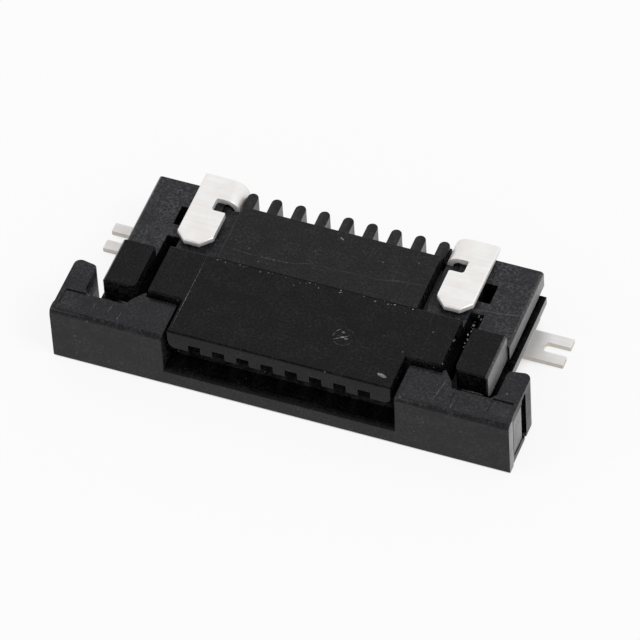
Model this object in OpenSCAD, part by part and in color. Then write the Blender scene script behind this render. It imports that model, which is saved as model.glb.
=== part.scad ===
// Right-angle surface-mount connector for a flat flexible cable, with a
// pull-out slider lock and eight upper contacts at 1 mm pitch.
// The cable goes in at the front (-Y), the solder tails leave at the rear
// (+Y), the board is the plane z = 0 and all sizes are in millimetres.

/* [Contact row] */
// Distance between neighbouring contacts
pitch = 1.0; // [0.95:0.01:1.0]
// Thickness of the strip the contacts are stamped from
contact_t = 0.25; // [0.2:0.01:0.28]
// Height of the solder tails and feet
tail_t = 0.22; // [0.18:0.01:0.26]

/* [Housing] */
// Height of the tongue and shoulder above the board
top_z = 3.04; // [3.0:0.01:3.06]
// Height of the raised plate behind the shoulder
plate_z = 3.07; // [3.05:0.01:3.12]
// Height of the rear side blocks
block_z = 2.49; // [2.4:0.01:2.6]
// Height of the raised front part of the side blocks
raised_z = 3.06; // [3.0:0.01:3.1]
// Half the width of the tongue over the cable
tongue_hw = 4.59; // [4.5:0.01:4.62]
// Half the width of the centre body
centre_hw = 6.05; // [6.0:0.01:6.08]
// Half the width over the side blocks
side_hw = 8.05; // [7.98:0.01:8.1]
// Half the width over the raised front part of the side blocks
raised_hw = 7.95; // [7.9:0.01:8.0]
// Half the width over the guide rails
rail_hw = 8.26; // [8.2:0.01:8.32]
// Height of the floor of the cable channel
floor_z = 0.5; // [0.46:0.01:0.52]

/* [Slider] */
// Half the length of the slider
slider_hw = 9.47; // [9.3:0.01:9.5]
// Height of the slider's top over the board
slider_z = 2.74; // [2.6:0.01:2.8]
// Height of the bar between the slider's end blocks
bar_z = 0.96; // [0.9:0.01:1.0]
// Depth of the finger ears, from the slider's front face
ear_y = 2.8; // [2.4:0.05:2.9]

/* [Fitting nails] */
// Thickness of the sheet the nails are bent from
nail_t = 0.25; // [0.2:0.01:0.25]
// Height of the nail's pad over the board
nail_z = 2.97; // [2.95:0.01:3.0]
// Distance from the middle to the tips of the solder forks
fork_tip = 9.65; // [9.5:0.01:9.7]

/* [Hidden] */
ways = 8;
plastic = [0.07, 0.07, 0.075];
tin = [0.80, 0.79, 0.76];
bronze = [0.80, 0.72, 0.58];
// Overlap that makes neighbouring shapes fuse, and cutters break through
eps = 0.01;
// Height above every piece, where cutters end
over = 4;

// Depths, measured from the slider's front face towards the rear
depth = 9.0;
tongue_y = 0.17;
lip_y = 1.05;
shoulder_y = 1.86;
raised_y = 1.83;
side_wall_y = 2.6;
step_y = 4.07;
plate_y = 4.35;
plate_back = 7.12;
wall_back = 7.75;
block_back = 8.08;
rib_back = 8.13;
channel_back = 6.2;

// Heights inside the housing
tongue_z = 2.13;
slot_z = 2.49;
root_z = 0.14;
slab_z = 1.68;
rib_z = 2.78;
rail_z0 = 0.85;
rail_z1 = 1.45;

// Half widths, and the widths of ribs and slots
plate_hw = 4.17;
cable_hw = 4.7;
slot_hw = 6.6;
wall_hw = 7.97;
rib_w = 0.44;
mouth_w = 0.5;
blade_gap = 0.03;
corner_r = 0.08;

// Latch slot beside the centre body, and the bridge over it
bridge_y0 = 5.26;
bridge_y1 = 5.87;
bridge_z0 = 1.95;
bridge_z1 = 2.2;
window_back = 6.85;
hook_room_back = 7.65;
hook_room_z = 2.1;

// Slider: lower face, end walls, ears and latch arms
lift = 0.03;
low_edge_r = 0.04;
block_in = 4.8;
block_rear = 1.8;
end_wall_y = 1.2;
ear_in = 8.5;
ear_out = slider_hw - 0.03;
lug_x = 7.3;
lug_y = 1.4;
lug_z = 2.2;
bar_y = 0.95;
wedge_hw = 4.5;
wedge_y = 5.0;
wedge_z0 = 0.6;
wedge_z1 = 1.05;
arm_x0 = 6.15;
arm_x1 = 6.5;
arm_z0 = 0.62;
arm_z1 = 1.3;
arm_back = 7.45;
hook_z = 1.9;

// Fitting nail: pad, bend, leg, foot and fork
pad_z = nail_z - nail_t;
pad_front = 4.84;
pad_back = 8.38;
pad_in = 4.66;
pad_out = 6.16;
pad_cut = 0.43;
pad_seat_x = 4.92;
notch_in = 5.26;
notch_y0 = 6.64;
leg_x = 4.3;
leg_y = 7.28;
bend_r = 0.6;
foot_y0 = 5.62;
foot_y1 = 7.04;
fork_root = 8.62;
prong_w = 0.47;
fork_r = 0.15;
seat_gap = 0.03;

// Points of an arc about c with radius r, from angle a0 to angle a1
function arc(c, r, a0, a1, n = 4) =
    [for (i = [0 : n]) c + r * [cos(a0 + (a1 - a0) * i / n), sin(a0 + (a1 - a0) * i / n)]];

// Middle of contact i, counted from the left
function contact_x(i) = (i - (ways + 1) / 2) * pitch;

// Moves the pieces from the front-face datum to the part's origin
module placed() {
    translate([0, -depth / 2, 0])
        children();
}

// A side outline (depth, height) carried across from x0 to x1
module across(x0, x1) {
    translate([x0, 0, 0])
        rotate([90, 0, 90])
            linear_extrude(x1 - x0)
                children();
}

// A cross-section (width, height) carried back from y0 to y1
module along(y0, y1) {
    translate([0, y1, 0])
        rotate([90, 0, 0])
            linear_extrude(y1 - y0)
                children();
}

// A plan outline carried up from z0 to z1
module upward(z0, z1) {
    translate([0, 0, z0])
        linear_extrude(z1 - z0)
            children();
}

// A block between two opposite corners
module block(a, b) {
    translate(a)
        cube(b - a);
}

// The same shape on the right and, mirrored, on the left
module both_sides() {
    children();
    mirror([1, 0, 0])
        children();
}

// ---------------------------------------------------------------- housing

// Side outline with softened top corners
module soft_side(y0, y1, z0, z1, r = corner_r) {
    polygon(concat([[y0, z0]],
                   arc([y0 + r, z1 - r], r, 180, 90),
                   arc([y1 - r, z1 - r], r, 90, 0),
                   [[y1, z0]]));
}

// Tongue that reaches over the cable, its lower corners rounded
module tongue() {
    low_r = 0.3;
    intersection() {
        across(-tongue_hw, tongue_hw)
            soft_side(tongue_y, shoulder_y + 1, tongue_z, top_z);
        along(tongue_y - 1, shoulder_y + 2)
            polygon(concat([[-tongue_hw, over]],
                           arc([low_r - tongue_hw, tongue_z + low_r], low_r, 180, 270),
                           arc([tongue_hw - low_r, tongue_z + low_r], low_r, 270, 360),
                           [[tongue_hw, over]]));
    }
}

// Centre body: shoulder, rear plate, lower lip and the seats of the nail pads
module centre_body() {
    across(-centre_hw, centre_hw)
        soft_side(shoulder_y, plate_y, 0, top_z);
    across(-plate_hw, plate_hw)
        soft_side(plate_y - corner_r, plate_back, 0, plate_z, 0.04);
    across(-cable_hw, cable_hw)
        polygon([[lip_y, 0], [lip_y, floor_z - 0.15], [lip_y + 0.15, floor_z],
                 [shoulder_y + eps, floor_z], [shoulder_y + eps, 0]]);
    both_sides() {
        block([plate_hw - eps, plate_y - eps, 0], [slot_hw + eps, block_back, block_z]);
        block([pad_seat_x, pad_front + 0.5, 0], [centre_hw, block_back, pad_z]);
    }
}

// Ribs that part the contact tails, round at the rear
module ribs() {
    for (i = [0 : ways])
        upward(0, rib_z)
            translate([(i - ways / 2) * pitch, 0])
                polygon(concat([[-rib_w / 2, plate_back - 0.2]],
                               arc([0, rib_back - rib_w / 2], rib_w / 2, 180, 0, 8),
                               [[rib_w / 2, plate_back - 0.2]]));
}

// Cross-section of a side block's slab out to x1, its outer top edge rounded
module slab_section(x1, z1, r = 0.15) {
    polygon(concat([[slot_hw - 1, 0], [x1, 0]],
                   arc([x1 - r, z1 - r], r, 0, 90),
                   [[slot_hw - 1, z1]]));
}

// Upper slab of a side block: raised at the front, with a rounded nose
module side_slab() {
    nose_r = 0.45;
    inner_r = 0.3;
    outer_r = 0.1;
    intersection() {
        across(slot_hw, side_hw)
            polygon(concat(arc([raised_y + nose_r, slab_z + nose_r], nose_r, 270, 180),
                           arc([raised_y + corner_r, raised_z - corner_r], corner_r, 180, 90),
                           [[step_y, raised_z], [step_y, block_z],
                            [block_back, block_z], [block_back, slab_z]]));
        upward(0, over)
            polygon(concat(arc([slot_hw + inner_r, raised_y + inner_r], inner_r, 180, 270),
                           arc([raised_hw - outer_r, raised_y + outer_r], outer_r, 270, 360),
                           [[raised_hw, step_y], [side_hw, step_y],
                            [side_hw, block_back], [slot_hw, block_back]]));
        union() {
            along(raised_y - 1, step_y)
                slab_section(raised_hw, raised_z);
            along(step_y, block_back + 1)
                slab_section(side_hw, block_z);
        }
    }
}

// Lower wall of a side block, cut back under the rail where the slider hooks in
module side_wall() {
    inset = 0.1;
    block([slot_hw, side_wall_y, 0], [wall_hw - inset, wall_back, slab_z + eps]);
    block([slot_hw, foot_y0, 0], [wall_hw, wall_back, rail_z0 + eps]);
}

// Rail that the slider runs on, with a chamfered lead-in
module rail() {
    lead = 0.15;
    front = 1.35;
    across(slot_hw + 1, rail_hw)
        polygon([[front + lead, rail_z0], [front, rail_z0 + lead],
                 [front, rail_z1 - lead], [front + lead, rail_z1],
                 [wall_back, rail_z1], [wall_back, rail_z0]]);
}

// Floor and bridge that tie a side block to the centre body
module side_ties() {
    block([centre_hw - 0.5, side_wall_y, 0], [slot_hw + eps, block_back, floor_z]);
    block([centre_hw - eps, bridge_y0, bridge_z0], [slot_hw + eps, bridge_y1, bridge_z1]);
}

// Channel that takes the cable and the slider's wedge
module cable_channel() {
    across(-cable_hw, cable_hw)
        polygon([[tongue_y - 1, floor_z], [channel_back, floor_z],
                 [channel_back, tongue_z - 0.45], [channel_back - 0.8, tongue_z],
                 [tongue_y - 1, tongue_z]]);
}

// Seat of one contact: slots in the tongue, the rear wall and the floor
module contact_seat(i) {
    w = contact_t / 2 + blade_gap;
    mouth = mouth_w / 2;
    back = plate_back + eps;
    translate([contact_x(i), 0, 0]) {
        // mouth flared out at the lip of the tongue
        upward(tongue_z - eps, slot_z)
            polygon([[-mouth, tongue_y - eps], [mouth, tongue_y - eps], [mouth, 0.55],
                     [w, 0.8], [-w, 0.8], [-mouth, 0.55]]);
        block([-w, 0.7, tongue_z - eps], [w, back, slot_z]);
        block([-w, channel_back - 0.1, root_z], [w, back, slot_z]);
        block([-w, 2.9, root_z], [w, back, floor_z + eps]);
        // way out for the solder tail
        block([-w, plate_back - 0.13, -eps], [w, back, floor_z]);
    }
}

// Slot where the slider's latch arm runs, roofed by the bridge
module latch_slot() {
    block([centre_hw, 0, floor_z], [slot_hw, bridge_y0, over]);
    block([centre_hw, bridge_y0 - eps, floor_z], [slot_hw, bridge_y1 + eps, bridge_z0]);
    block([centre_hw, bridge_y1, floor_z], [slot_hw, window_back, over]);
    block([centre_hw, window_back - eps, floor_z], [slot_hw, hook_room_back, hook_room_z]);
}

// Recesses for a fitting nail: round its leg and bend, and under the foot
module nail_seat() {
    x0 = leg_x - seat_gap;
    x1 = leg_x + nail_t;
    y0 = leg_y - seat_gap;
    foot_z = tail_t + 0.02;
    block([x0, y0, -eps], [x1, block_back + eps, over]);
    block([x0, y0, nail_z - 0.72], [x1 + 0.1, block_back + eps, over]);
    block([x0, foot_y0 - seat_gap, -eps], [side_hw + 1, foot_y1 + seat_gap, foot_z]);
    block([x0, foot_y1 - 0.1, -eps], [leg_x + 0.6, block_back + eps, foot_z]);
}

// Narrow groove beside the rear plate, in front of a nail's leg
module plate_groove() {
    groove_w = 0.15;
    groove_z = 2.25;
    block([plate_hw, plate_y + 0.1, groove_z], [plate_hw + groove_w, leg_y, over]);
}

// Moulded housing, one piece
module housing() {
    color(plastic)
        placed()
            difference() {
                union() {
                    tongue();
                    centre_body();
                    ribs();
                    both_sides() {
                        side_slab();
                        side_wall();
                        rail();
                        side_ties();
                    }
                }
                cable_channel();
                for (i = [1 : ways])
                    contact_seat(i);
                both_sides() {
                    latch_slot();
                    nail_seat();
                    plate_groove();
                }
            }
}

// ----------------------------------------------------------------- slider

// Side outline of an end block, its front edges softened
module slider_section() {
    top_r = 0.2;
    back = ear_y + 1;
    polygon(concat([[back, lift]],
                   arc([low_edge_r, lift + low_edge_r], low_edge_r, 270, 180),
                   arc([top_r, slider_z - top_r], top_r, 180, 90),
                   [[back, slider_z]]));
}

// Plan outline of an end block: finger ear, notch for the side block, inner wall
module end_block_plan() {
    ear_r = 0.28;
    inner_r = 0.2;
    polygon(concat([[block_in, -1], [slider_hw, -1], [slider_hw, 0.4], [ear_out, 0.5]],
                   arc([ear_out - ear_r, ear_y - ear_r], ear_r, 0, 90),
                   arc([ear_in + inner_r, ear_y - 0.08 - inner_r], inner_r, 100, 180),
                   [[ear_in, end_wall_y + 0.22], [ear_in - 0.22, end_wall_y],
                    [slot_hw + 0.12, end_wall_y], [slot_hw + 0.02, end_wall_y + 0.3],
                    [centre_hw + 0.17, block_rear + 0.18], [centre_hw + 0.09, block_rear + 0.18],
                    [centre_hw + 0.05, block_rear], [block_in, block_rear]]));
}

// Latch arm, with the hook that stops behind the housing's bridge
module latch_arm() {
    block([arm_x0, end_wall_y - 0.1, arm_z0], [arm_x1, arm_back, arm_z1]);
    across(arm_x0, arm_x1)
        polygon([[arm_back - 0.35, arm_z1 - 0.1], [arm_back - 0.35, hook_z],
                 [arm_back - 0.25, hook_z], [arm_back, hook_z - 0.4],
                 [arm_back, arm_z1 - 0.1]]);
}

// Flange that hooks under the housing's rail
module rail_flange() {
    block([wall_hw + 0.09, end_wall_y - 0.1, lift], [ear_in + 0.1, 2.4, rail_z0 - 0.1]);
}

// Groove and low panels moulded into an end block
module end_block_relief() {
    groove_y = 1.78;
    groove_w = 0.15;
    block([slider_hw - 0.2, groove_y, -1], [slider_hw + 1, groove_y + groove_w, slider_z - 0.12]);
    // shallow panel in the end face
    block([ear_out - 0.04, 0.6, 0.35], [slider_hw + 1, 1.6, slider_z - 0.35]);
    // sunk panel beside the ear
    block([ear_in - 0.1, 0.45, slider_z - 0.06], [ear_out - 0.2, end_wall_y + 0.02, over]);
    // lower stretch of the top in front of the side block
    block([slot_hw + 0.3, 0.5, slider_z - 0.03], [ear_in - 0.1, end_wall_y + 0.1, over]);
}

// Round lug on the end wall, in front of the side block
module wall_lug() {
    upward(lift, lug_z)
        polygon(arc([lug_x, lug_y], 0.24, 0, 345, 23));
}

// End block with everything that rides on it
module end_block() {
    difference() {
        intersection() {
            upward(0, over)
                end_block_plan();
            across(block_in - 1, slider_hw + 1)
                slider_section();
        }
        end_block_relief();
    }
    wall_lug();
    rail_flange();
    latch_arm();
}

// Bar across the front, with its upper edge rounded
module bar() {
    edge_r = 0.22;
    across(-block_in - 0.1, block_in + 0.1)
        polygon(concat([[bar_y, lift], [low_edge_r, lift], [0, lift + low_edge_r]],
                       arc([edge_r, bar_z - edge_r], edge_r, 180, 90),
                       [[bar_y, bar_z]]));
}

// Wedge that presses the cable up against the contacts
module wedge() {
    across(-wedge_hw, wedge_hw)
        polygon([[bar_y - 0.05, wedge_z0], [bar_y - 0.05, bar_z], [bar_y + 0.15, wedge_z1],
                 [wedge_y - 1.1, wedge_z1], [wedge_y, wedge_z0 + 0.18],
                 [wedge_y, wedge_z0 + 0.02], [wedge_y - 0.4, wedge_z0]]);
}

// Sliding lock, one moulding
module slider() {
    color(plastic)
        placed() {
            bar();
            wedge();
            both_sides()
                end_block();
        }
}

// --------------------------------------------------------------- contacts

// Side outline of one stamped contact: two beams, a root and a solder tail
module contact_outline() {
    root_y = channel_back + 0.08;
    root_back = plate_back - 0.03;
    beam_z = slot_z - 0.07;
    polygon(concat(
        // upper beam with its rounded contact point, tip first
        [[1.0, beam_z], [1.0, 2.25], [1.5, 2.0], [1.9, 1.55]],
        arc([2.05, 1.5], 0.12, 200, 340, 5),
        [[2.35, 1.95], [3.1, 2.16], [root_y - 0.18, tongue_z]],
        // root and the lower beam that holds the contact in the floor
        [[root_y, 1.9], [root_y, 0.62], [root_y - 0.16, 0.44], [3.2, 0.36], [3.0, 0.26],
         [3.0, 0.18], [3.2, root_z], [root_back - 0.05, root_z]],
        // solder tail
        [[root_back + 0.15, 0], [depth - 0.08, 0], [depth, 0.08], [depth, tail_t],
         [root_back + 0.35, tail_t], [root_back, floor_z], [root_back, slot_z],
         [root_y - 0.08, slot_z], [root_y - 0.48, beam_z]]));
}

// Contact number i, counted from the left
module contact(i) {
    color(bronze)
        placed()
            across(contact_x(i) - contact_t / 2, contact_x(i) + contact_t / 2)
                contact_outline();
}

// ------------------------------------------------------------------ nails

// Plan of the pad: cut front corners, and a notch in front of the bend
module pad_plan() {
    bend_x = leg_x + bend_r;
    polygon(concat([[pad_in, pad_front + pad_cut], [pad_in + pad_cut, pad_front],
                    [pad_out - pad_cut, pad_front], [pad_out, pad_front + pad_cut],
                    [pad_out, pad_back], [bend_x, pad_back], [bend_x, leg_y]],
                   arc([notch_in - 0.08, leg_y - 0.08], 0.08, 90, 0),
                   arc([notch_in - 0.12, notch_y0 + 0.12], 0.12, 0, -90),
                   arc([pad_in + 0.06, notch_y0 - 0.06], 0.06, 90, 180)));
}

// Section of the bend and the leg, rolled down beside the rear plate
module leg_section() {
    c = [leg_x + bend_r, nail_z - bend_r];
    polygon(concat([[c[0] + 0.05, nail_z]],
                   arc(c, bend_r, 90, 180, 6),
                   [[leg_x, 0], [leg_x + nail_t, 0]],
                   arc(c, bend_r - nail_t, 180, 90, 6),
                   [[c[0] + 0.05, pad_z]]));
}

// Plan of the foot: it runs back to the leg, and out to the fork with its round root
module foot_plan() {
    y0 = foot_y0 + prong_w;
    y1 = foot_y1 - prong_w;
    polygon(concat([[leg_x, foot_y0], [fork_tip, foot_y0], [fork_tip, y0]],
                   arc([fork_root + fork_r, y0 + fork_r], fork_r, 270, 180),
                   arc([fork_root + fork_r, y1 - fork_r], fork_r, 180, 90),
                   [[fork_tip, y1], [fork_tip, foot_y1], [leg_x + 0.55, foot_y1],
                    [leg_x + 0.55, pad_back], [leg_x, pad_back]]));
}

// Right fitting nail, one bent sheet: pad, leg, foot and solder fork
module nail() {
    upward(pad_z, nail_z)
        pad_plan();
    along(leg_y, pad_back)
        leg_section();
    upward(0, tail_t)
        foot_plan();
}

module fitting_nail_right() {
    color(tin)
        placed()
            nail();
}

module fitting_nail_left() {
    color(tin)
        placed()
            mirror([1, 0, 0])
                nail();
}

housing();
slider();
contact(1);  // contact_1
contact(2);  // contact_2
contact(3);  // contact_3
contact(4);  // contact_4
contact(5);  // contact_5
contact(6);  // contact_6
contact(7);  // contact_7
contact(8);  // contact_8
fitting_nail_left();
fitting_nail_right();
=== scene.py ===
"""Visual model of an eight-way flat-cable connector with a pull-out slider lock.

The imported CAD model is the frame. Each class below builds one sub-assembly of the
connector round it: the moulded housing and its marks, the slider and its wear, the
row of stamped contacts and the two fitting nails, then the floor, the lamps and the
camera. All meshes are in metres, in the CAD frame: the cable enters at -Y and the
board is the plane z = 0. The classes hold their sizes in millimetres.
"""

import logging
import math
import random
from dataclasses import dataclass, field
from enum import Enum, auto
from functools import cache
from typing import Callable, Iterable, Sequence

import bmesh
import bpy
from mathutils import Matrix, Vector


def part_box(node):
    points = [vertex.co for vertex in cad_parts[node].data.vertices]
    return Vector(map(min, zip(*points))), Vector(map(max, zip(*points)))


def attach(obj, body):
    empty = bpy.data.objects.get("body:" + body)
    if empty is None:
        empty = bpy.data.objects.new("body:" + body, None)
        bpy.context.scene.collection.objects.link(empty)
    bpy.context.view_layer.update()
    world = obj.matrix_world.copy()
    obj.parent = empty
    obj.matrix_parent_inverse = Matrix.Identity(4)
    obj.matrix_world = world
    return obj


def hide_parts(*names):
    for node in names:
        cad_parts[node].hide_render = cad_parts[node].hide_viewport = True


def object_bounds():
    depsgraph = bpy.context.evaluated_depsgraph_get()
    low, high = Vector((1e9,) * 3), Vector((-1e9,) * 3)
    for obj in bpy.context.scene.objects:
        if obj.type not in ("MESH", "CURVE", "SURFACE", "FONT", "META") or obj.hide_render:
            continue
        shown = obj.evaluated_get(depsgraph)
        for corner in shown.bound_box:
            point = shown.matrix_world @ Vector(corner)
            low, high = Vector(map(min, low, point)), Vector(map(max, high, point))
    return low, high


LOG = logging.getLogger("connector")
MM = 0.001
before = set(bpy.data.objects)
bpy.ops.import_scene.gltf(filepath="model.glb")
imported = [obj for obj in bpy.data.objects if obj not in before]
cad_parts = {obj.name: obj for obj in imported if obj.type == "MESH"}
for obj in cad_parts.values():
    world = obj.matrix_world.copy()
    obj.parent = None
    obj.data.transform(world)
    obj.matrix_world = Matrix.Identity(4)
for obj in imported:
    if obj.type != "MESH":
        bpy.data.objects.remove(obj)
CAD_BOX = [list(corner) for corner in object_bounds()]

# Heights of the shoulder and of the rear plate as rendered, in millimetres
SHOULDER_TOP = 3.04
PLATE_TOP = 3.056
# Points closer than this are one point, in metres
MERGE_REACH = 0.001 * MM
# Faces that turn by less than the first are one face, edges that turn by less than the
# second look smooth, and edges that turn by more than the third are rounded
FLAT_TURN = math.radians(0.5)
SMOOTH_TURN = math.radians(35.0)
SHARP_TURN = math.radians(50.0)
# Sockets of a Mix node that mixes colours: its factor, its two colours and its result
MIX_INPUTS = (0, 6, 7)
MIX_RESULT = 2

Shape = bmesh.types.BMesh
Socket = bpy.types.NodeSocket
Point = tuple[float, float]
Place = tuple[float, float, float]
Colour = tuple[float, float, float, float]
Box = tuple[Place, Place]


class Body(Enum):
    """The CAD bodies that the pieces ride on."""

    BASE = "base"
    SLIDER = "slider"


class Slot(Enum):
    """Names of the material slots for the pieces."""

    HOUSING = "black_moulding"
    SLIDER = "slider_moulding"
    TIN = "tin_plate"
    CONTACT = "contact_metal"


class Side(Enum):
    """The two ends of the connector, by the sign of X."""

    LEFT = -1
    RIGHT = 1


class Skin(Enum):
    """The finishes that a surface can have."""

    SATIN = auto()
    POLISHED = auto()
    ROUGH = auto()
    PAINTED_REFLECTION = auto()
    DARK = auto()
    LIGHT = auto()
    TORN = auto()
    PAINTED_HIGHLIGHT = auto()
    TIN = auto()
    SHEARED = auto()
    BRONZE = auto()


# ---- node helpers


class Tree:
    """A node tree with short ways to add and join nodes."""

    def __init__(self, tree: bpy.types.NodeTree) -> None:
        """Wraps an empty or new node tree."""
        self.tree = tree

    def node(self, kind: str, inputs: dict | None = None, **settings: object) -> bpy.types.Node:
        """Adds a node.

        Args:
            kind: the node's Blender type name.
            inputs: input socket name or index to a value or an output socket.
            settings: the node's own properties.

        Returns:
            The new node.
        """
        made = self.tree.nodes.new(kind)
        for key, value in settings.items():
            setattr(made, key, value)
        self.feed(made, inputs or {})
        return made

    def feed(self, node: bpy.types.Node, inputs: dict) -> None:
        """Sets or links inputs of a node.

        Args:
            node: the node.
            inputs: input socket name or index to a value or an output socket.
        """
        for key, value in inputs.items():
            if isinstance(value, Socket):
                self.tree.links.new(value, node.inputs[key])
            else:
                node.inputs[key].default_value = value

    def math(self, operation: str, a: object, b: object = 0.0, clamp: bool = False) -> Socket:
        """Adds a Math node on two values or sockets, and returns its output."""
        return self.node("ShaderNodeMath", {0: a, 1: b}, operation=operation, use_clamp=clamp).outputs[0]

    def ramp(self, value: Socket, low: object, high: object, to: Point = (0.0, 1.0)) -> Socket:
        """Maps a value smoothly from the span low to high onto the span to."""
        made = self.node("ShaderNodeMapRange", {"Value": value, "From Min": low, "From Max": high,
                                                "To Min": to[0], "To Max": to[1]},
                         interpolation_type="SMOOTHSTEP")
        return made.outputs["Result"]

    def blend(self, mask: Socket, low: object, high: object) -> Socket:
        """Mixes two colours: mask 0 gives low, and 1 gives high."""
        made = self.node("ShaderNodeMix", dict(zip(MIX_INPUTS, (mask, low, high))), data_type="RGBA")
        return made.outputs[MIX_RESULT]

    def noise(self, place: Socket, scale: object, detail: float, **inputs: float) -> Socket:
        """Adds a Noise Texture of scale cycles per metre, and returns its value."""
        return self.node("ShaderNodeTexNoise", {"Vector": place, "Scale": scale, "Detail": detail,
                                                **inputs}).outputs["Fac"]

    def group(self, group: bpy.types.NodeTree, place: Socket, **inputs: float) -> bpy.types.Node:
        """Adds a shader group; the names of its inputs have an underscore for each space."""
        values = {key.replace("_", " "): value for key, value in inputs.items()}
        return self.node("ShaderNodeGroup", {"Place": place, **values}, node_tree=group)

    def bump(self, height: Socket, distance: float) -> Socket:
        """Turns a relief from 0 to 1 into a normal; distance is its height in metres."""
        return self.node("ShaderNodeBump", {"Height": height, "Distance": distance,
                                            "Strength": 1.0}).outputs["Normal"]

    def close(self, kind: str, outputs: dict[str, Socket]) -> bpy.types.NodeTree:
        """Gives a node group its outputs.

        Args:
            kind: the socket type of the outputs.
            outputs: output name to what feeds it.

        Returns:
            The group.
        """
        for key in outputs:
            self.tree.interface.new_socket(key, in_out="OUTPUT", socket_type=kind)
        self.node("NodeGroupOutput", outputs)
        return self.tree


def shader_group(name: str, inputs: dict[str, float]) -> tuple[Tree, dict[str, Socket]]:
    """Starts a shader node group with a Place input and some number inputs.

    Args:
        name: the group's name.
        inputs: name of each number input to its default value.

    Returns:
        The group's tree and its inputs.
    """
    group = bpy.data.node_groups.new(name, "ShaderNodeTree")
    group.interface.new_socket("Place", in_out="INPUT", socket_type="NodeSocketVector")
    for key, value in inputs.items():
        made = group.interface.new_socket(key, in_out="INPUT", socket_type="NodeSocketFloat")
        made.default_value = value
    return Tree(group), dict(group.nodes.new("NodeGroupInput").outputs.items())


@cache
def grain_group() -> bpy.types.NodeTree:
    """Makes the group for the fine grain and the cloudy patches of a moulded or plated skin.

    Returns:
        The node group, with the outputs Fine and Cloud.
    """
    tree, entry = shader_group("skin_grain", {"Fine Scale": 9000.0, "Cloud Scale": 900.0})
    fine = tree.noise(entry["Place"], entry["Fine Scale"], detail=5.0, Roughness=0.75)
    cloud = tree.noise(entry["Place"], entry["Cloud Scale"], detail=5.0, Roughness=0.55)
    return tree.close("NodeSocketFloat", {"Fine": fine, "Cloud": tree.ramp(cloud, low=0.3, high=0.7)})


@cache
def scuff_group() -> bpy.types.NodeTree:
    """Makes the group for thin rubbed streaks, in a direction given by the incoming place.

    Returns:
        The node group, with the output Mask.
    """
    tree, entry = shader_group("rubbed_streaks", {"Scale": 700.0, "Patch Scale": 350.0, "Width": 0.012})
    warp = tree.noise(entry["Place"], entry["Scale"], detail=4.0, Distortion=0.3)
    line = tree.math("ABSOLUTE", tree.math("SUBTRACT", warp, 0.5))
    thin = tree.ramp(line, low=0.0, high=entry["Width"], to=(1.0, 0.0))
    patch = tree.noise(entry["Place"], entry["Patch Scale"], detail=2.0)
    mask = tree.math("MULTIPLY", thin, tree.ramp(patch, low=0.5, high=0.68))
    return tree.close("NodeSocketFloat", {"Mask": mask})


@cache
def speck_group() -> bpy.types.NodeTree:
    """Makes the group for scattered pale specks, such as dust.

    Returns:
        The node group, with the output Mask.
    """
    tree, entry = shader_group("pale_specks", {"Scale": 5200.0, "Size": 0.13, "Rarity": 0.975})
    cell = tree.node("ShaderNodeTexVoronoi", {"Vector": entry["Place"], "Scale": entry["Scale"]})
    chance = tree.node("ShaderNodeSeparateColor", {"Color": cell.outputs["Color"]}).outputs["Red"]
    faded = tree.math("MULTIPLY", entry["Size"], 2.0)
    dot = tree.ramp(cell.outputs["Distance"], low=entry["Size"], high=faded, to=(1.0, 0.0))
    mask = tree.math("MULTIPLY", dot, tree.math("GREATER_THAN", chance, entry["Rarity"]))
    return tree.close("NodeSocketFloat", {"Mask": mask})


# ---- finishes


def new_material(name: str) -> tuple[bpy.types.Material, Tree, bpy.types.Node]:
    """Makes a material with one Principled shader.

    Args:
        name: the material's name.

    Returns:
        The material, its tree and its Principled shader.
    """
    material = bpy.data.materials.new(name)
    material.use_nodes = True
    shader = material.node_tree.nodes["Principled BSDF"]
    return material, Tree(material.node_tree), shader


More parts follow.
